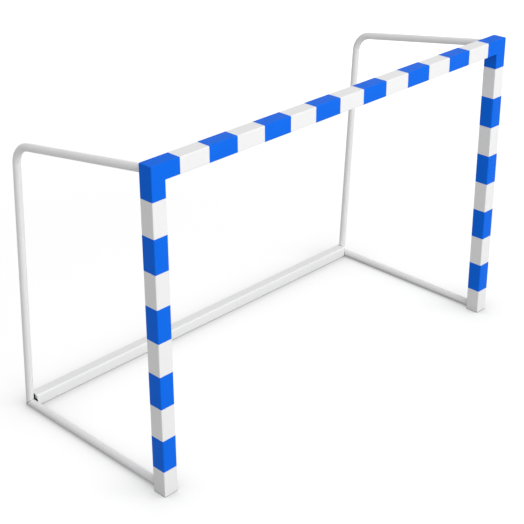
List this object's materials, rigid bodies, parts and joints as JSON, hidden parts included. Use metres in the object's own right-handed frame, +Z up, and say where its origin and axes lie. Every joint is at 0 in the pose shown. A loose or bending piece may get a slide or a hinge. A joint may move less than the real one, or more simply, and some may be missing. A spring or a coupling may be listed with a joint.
{
  "type": "mini soccer goal",
  "caption": "Mini soccer goal with a blue-banded white square frame, bent round side hoops, ground tubes and a square ballasted rear bar; no net.",
  "frame": {"origin": "middle of the goal's footprint on the floor", "axes": "+X to the right as seen from the front, +Y from the goal mouth towards the rear bar, +Z up"},
  "size_m": [2.5612, 1.1306, 1.6806],
  "materials": {
    "profile_paint": "satin white powder coat",
    "corner_paint": "satin blue powder coat",
    "blue_foil": "satin blue foil",
    "tube_paint": "satin white powder coat",
    "bar_paint": "satin white powder coat",
    "cast_metal": "as cast",
    "foot_plastic": "matte pale grey",
    "plug_plastic": "matte dark",
    "hook_plastic": "matte white",
    "bolt_steel": "zinc plated",
    "ballast_steel": "mill scale"
  },
  "bodies": {
    "root": {"post_left": "profile_paint", "post_right": "profile_paint", "crossbar": "profile_paint", "corner_left": "corner_paint", "corner_right": "corner_paint", "corner_insert_left": "cast_metal", "corner_insert_right": "cast_metal", "foot_insert_left": "foot_plastic", "foot_insert_right": "foot_plastic", "post_band_left_1": "blue_foil", "post_band_left_2": "blue_foil", "post_band_left_3": "blue_foil", "post_band_left_4": "blue_foil", "post_band_right_1": "blue_foil", "post_band_right_2": "blue_foil", "post_band_right_3": "blue_foil", "post_band_right_4": "blue_foil", "crossbar_band_1": "blue_foil", "crossbar_band_2": "blue_foil", "crossbar_band_3": "blue_foil", "crossbar_band_4": "blue_foil", "crossbar_band_5": "blue_foil", "crossbar_band_6": "blue_foil", "hoop_left": "tube_paint", "hoop_right": "tube_paint", "ground_tube_left": "tube_paint", "ground_tube_right": "tube_paint", "rear_bar": "bar_paint", "bar_plug_left": "plug_plastic", "bar_plug_right": "plug_plastic", "ballast_rod": "ballast_steel", "net_strip_left": "hook_plastic", "net_strip_right": "hook_plastic", "net_strip_top": "hook_plastic", "corner_bolt_left_1": "bolt_steel", "corner_bolt_left_2": "bolt_steel", "corner_bolt_left_3": "bolt_steel", "corner_bolt_left_4": "bolt_steel", "corner_bolt_right_1": "bolt_steel", "corner_bolt_right_2": "bolt_steel", "corner_bolt_right_3": "bolt_steel", "corner_bolt_right_4": "bolt_steel", "hoop_bolt_left_1": "bolt_steel", "hoop_bolt_left_2": "bolt_steel", "hoop_bolt_left_3": "bolt_steel", "hoop_bolt_left_4": "bolt_steel", "hoop_bolt_right_1": "bolt_steel", "hoop_bolt_right_2": "bolt_steel", "hoop_bolt_right_3": "bolt_steel", "hoop_bolt_right_4": "bolt_steel", "ground_bolt_left_1": "bolt_steel", "ground_bolt_left_2": "bolt_steel", "ground_bolt_right_1": "bolt_steel", "ground_bolt_right_2": "bolt_steel"}
  },
  "joints": []
}
